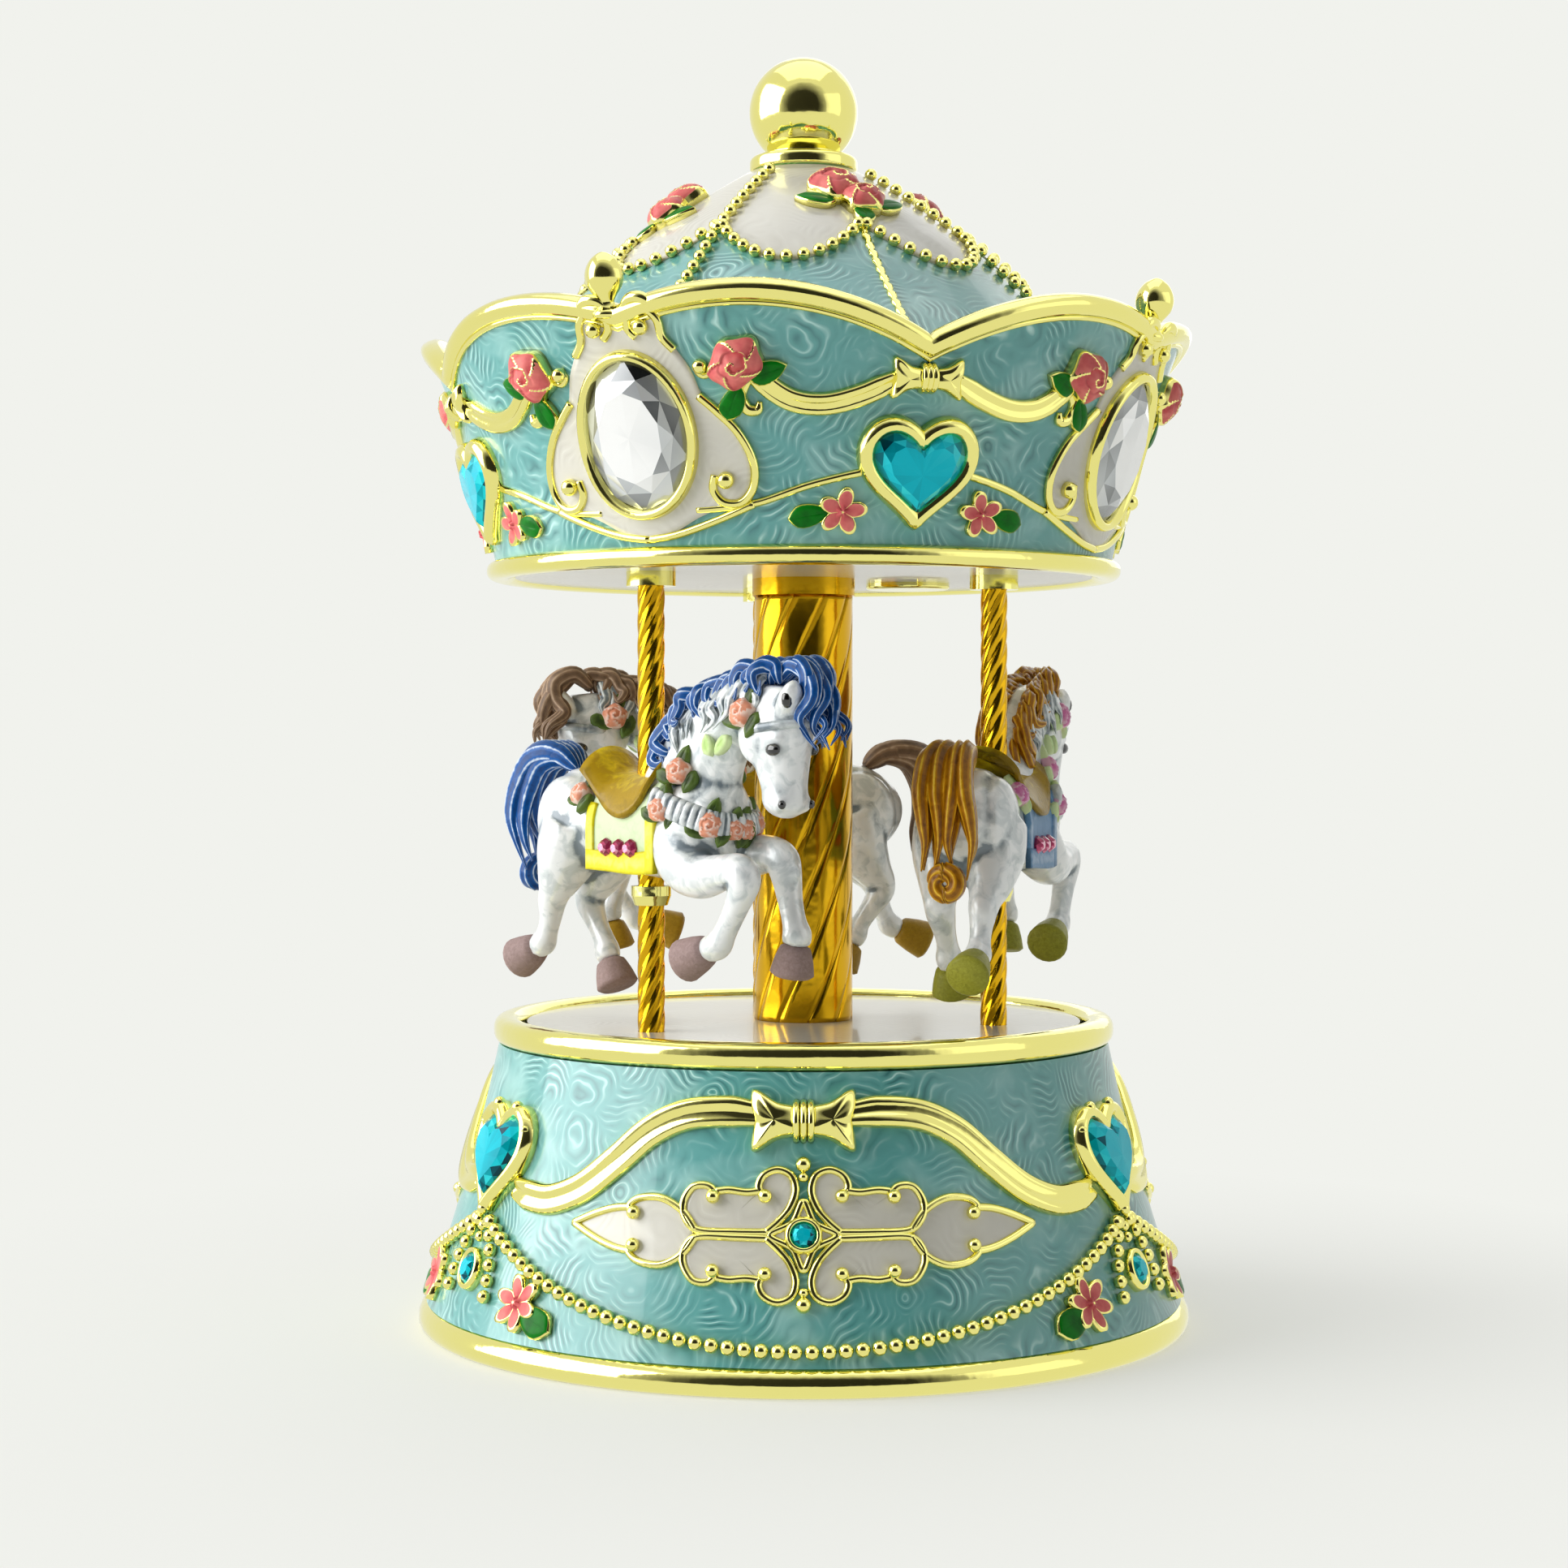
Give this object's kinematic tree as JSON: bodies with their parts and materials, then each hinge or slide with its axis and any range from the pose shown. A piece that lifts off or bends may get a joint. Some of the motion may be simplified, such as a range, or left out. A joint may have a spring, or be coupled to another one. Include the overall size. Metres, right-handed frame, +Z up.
{
  "type": "carousel music box",
  "caption": "Wind-up carousel music box: flared enamelled base with a musical movement, turning platform with leaping horses on poles, and a jewelled crown canopy with a domed roof.",
  "frame": {"origin": "middle of the foot on the table", "axes": "+Z up along the axis the carousel turns about, -Y towards the viewer"},
  "size_m": [0.1008, 0.1008, 0.1641],
  "materials": {
    "turquoise_enamel": "pearl enamel, marbled, gloss",
    "cream_enamel": "pearl enamel, gloss",
    "gold_plating": "bright plated, polished",
    "column_gold": "bright plated, engraved",
    "blue_glass": "faceted, foil backed",
    "clear_glass": "faceted, foil backed",
    "pink_enamel": "hand painted enamel, gold edges",
    "horse_paint": "pearl paint, gloss",
    "movement_brass": "machined",
    "movement_steel": "machined",
    "cover_paint": "matt"
  },
  "bodies": {
    "base": {"base_shell": "turquoise_enamel", "base_foot_rim": "gold_plating", "base_top_rim": "gold_plating", "deck_plate": "movement_steel", "deck_bush": "movement_brass", "bottom_cover": "cover_paint", "case_screws": "movement_steel", "bedplate": "movement_steel", "movement_screws": "movement_steel", "governor_bracket": "movement_brass", "music_comb": "movement_steel", "comb_screws": "movement_steel", "base_plaques": "cream_enamel", "base_settings": "gold_plating", "base_garlands": "gold_plating", "base_heart_stones": "blue_glass", "base_small_stones": "blue_glass", "base_beads": "gold_plating", "base_flowers": "pink_enamel"},
    "carousel": {"spring_barrel": "movement_brass", "mainspring": "movement_steel", "drive_spindle": "movement_steel", "turntable": "cream_enamel", "turntable_hub": "movement_brass", "center_column": "column_gold", "column_collar": "column_gold", "tie_rod": "movement_steel", "pole_collars": "gold_plating", "horse_ferrules": "gold_plating", "pole_1": "column_gold", "pole_2": "column_gold", "pole_3": "column_gold", "horse_1": "horse_paint", "horse_2": "horse_paint", "horse_3": "horse_paint", "canopy_floor": "cream_enamel", "canopy_bottom_rim": "gold_plating", "canopy_plug": "gold_plating", "canopy_wall": "turquoise_enamel", "canopy_top_rim": "gold_plating", "canopy_dome": "turquoise_enamel", "finial_collar": "gold_plating", "finial_ball": "gold_plating", "oval_settings": "gold_plating", "oval_stones": "clear_glass", "canopy_heart_settings": "gold_plating", "canopy_heart_stones": "blue_glass", "canopy_garlands": "gold_plating", "canopy_roses": "pink_enamel", "canopy_cartouches": "cream_enamel", "crest_knobs": "gold_plating", "dome_beads": "gold_plating"},
    "winder": {"winding_arbor": "movement_steel", "winding_key": "gold_plating"},
    "music_cylinder": {"pinned_cylinder": "movement_brass", "cylinder_arbor": "movement_steel", "cylinder_pinion": "movement_steel", "cylinder_wheel": "movement_brass"},
    "governor": {"governor_wheel": "movement_brass"},
    "air_brake": {"air_brake_fan": "movement_brass"}
  },
  "joints": [
    {"name": "carousel_spin", "type": "hinge", "parent": "base", "child": "carousel", "pos_m": [0, 0, 0.0344], "axis": [0, 0, 1], "continuous": true},
    {"name": "key_wind", "type": "hinge", "parent": "base", "child": "winder", "pos_m": [0, 0, 0.0124], "axis": [0, 0, 1], "continuous": true},
    {"name": "cylinder_spin", "type": "hinge", "parent": "base", "child": "music_cylinder", "pos_m": [0.0204, 0, 0.0246], "axis": [1, 0, 0], "continuous": true},
    {"name": "governor_spin", "type": "hinge", "parent": "base", "child": "governor", "pos_m": [0.0302, 0.0088, 0.0246], "axis": [1, 0, 0], "continuous": true},
    {"name": "fan_spin", "type": "hinge", "parent": "base", "child": "air_brake", "pos_m": [0.0302, 0.01488, 0.0246], "axis": [1, 0, 0], "continuous": true}
  ],
  "couplings": [
    {"joint": "cylinder_spin", "follows": "carousel_spin", "ratio": 3},
    {"joint": "governor_spin", "follows": "carousel_spin", "ratio": -13.5},
    {"joint": "fan_spin", "follows": "carousel_spin", "ratio": 50.625}
  ]
}
